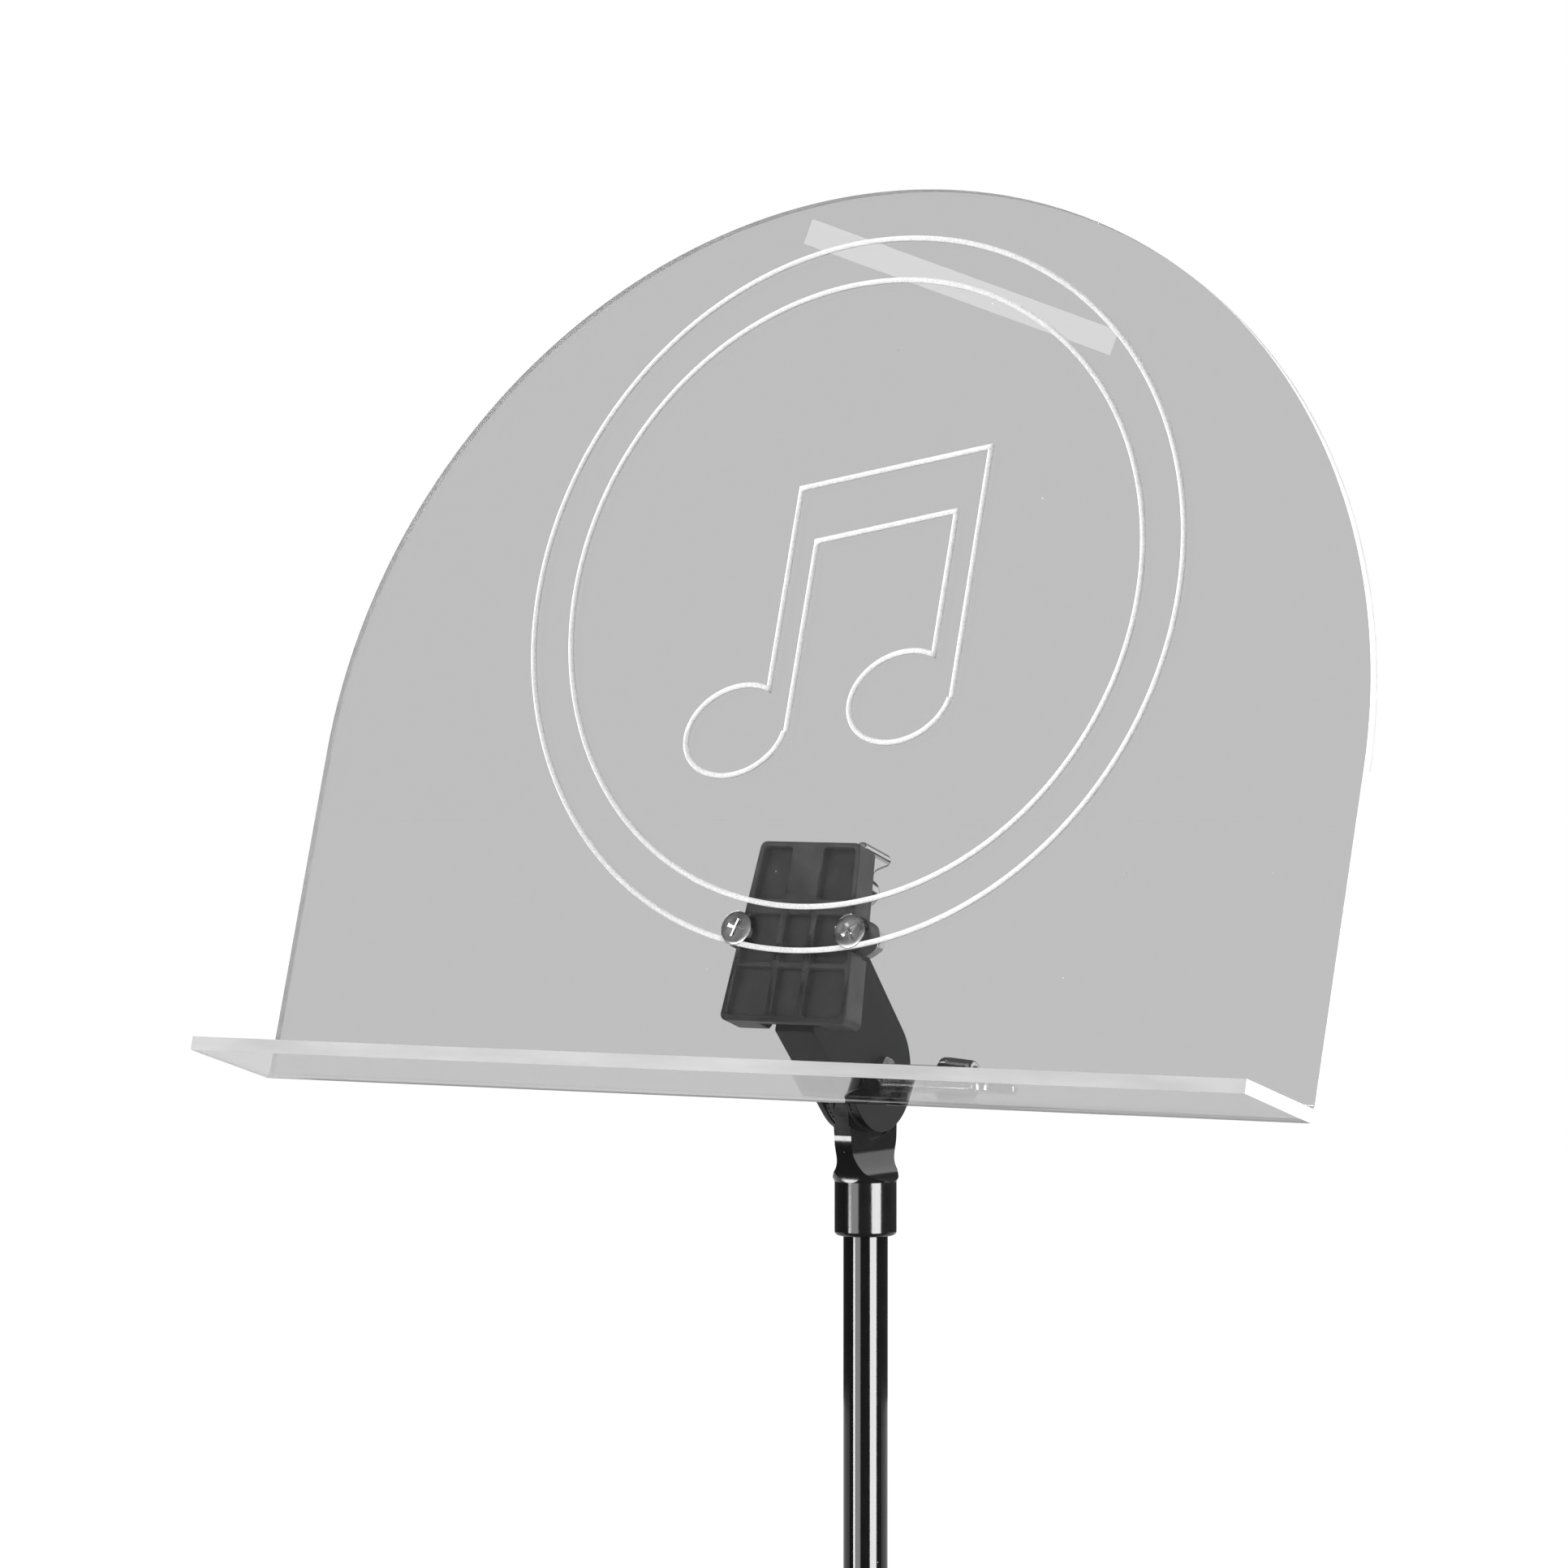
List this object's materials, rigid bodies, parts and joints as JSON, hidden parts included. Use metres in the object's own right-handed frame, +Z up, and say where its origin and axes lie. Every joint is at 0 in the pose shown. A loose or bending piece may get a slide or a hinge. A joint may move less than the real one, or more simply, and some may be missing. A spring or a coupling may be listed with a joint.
{
  "type": "acrylic microphone shield with tilting stand head",
  "caption": "Clear acrylic shield with a round top and a front ledge, on a tilting clevis head with wing screws and a short stand tube.",
  "frame": {"origin": "centre of the lower end of the extension tube, where it enters a stand", "axes": "+Z up along the tube, +X to the user's right when facing the shield, +Y away from the user"},
  "size_m": [0.43, 0.1552, 0.5263],
  "materials": {
    "acrylic": "polished clear sheet with white sawn edges",
    "block_plastic": "moulded, fine texture",
    "arm_coat": "black satin powder coat",
    "adapter_coat": "black semi-gloss cast",
    "tube_coat": "black gloss",
    "chrome": "bright cast",
    "zinc": "bright zinc plate",
    "brass": "turned",
    "disc_nylon": "satin",
    "disc_steel": "black oxide"
  },
  "bodies": {
    "stand": {"extension_tube": "tube_coat", "tube_stud": "zinc", "stand_adapter": "adapter_coat", "friction_disc_left": "disc_nylon", "friction_disc_right": "disc_nylon"},
    "arm": {"tilt_arm": "arm_coat", "serrated_disc_left": "disc_steel", "serrated_disc_right": "disc_steel", "tilt_jam_nut": "zinc", "tilt_lock_nut": "zinc"},
    "tilt_screw": {"tilt_wing_head": "chrome", "tilt_stud": "zinc"},
    "desk": {"shield_panel": "acrylic", "panel_screw_left": "zinc", "panel_screw_right": "zinc", "panel_washer_left": "zinc", "panel_washer_right": "zinc", "panel_nut_left": "zinc", "panel_nut_right": "zinc", "desk_block": "block_plastic", "block_insert": "brass"},
    "clamp_screw": {"clamp_wing_head": "chrome", "clamp_stud": "zinc", "clamp_washer": "zinc"}
  },
  "joints": [
    {"name": "tilt", "type": "hinge", "parent": "stand", "child": "arm", "pos_m": [0, -0.001, 0.2087], "axis": [1, 0, 0], "range_deg": [-72.4, 27]},
    {"name": "desk_lift", "type": "slide", "parent": "arm", "child": "desk", "axis": [0, 0.3015, 0.9535], "range_m": [0, 0.06]},
    {"name": "tilt_screw_turn", "type": "hinge", "parent": "arm", "child": "tilt_screw", "pos_m": [0, -0.001, 0.2087], "axis": [1, 0, 0], "continuous": true},
    {"name": "clamp_screw_turn", "type": "hinge", "parent": "desk", "child": "clamp_screw", "pos_m": [0, -0.02169, 0.27962], "axis": [0, -0.9535, 0.3015], "continuous": true}
  ]
}
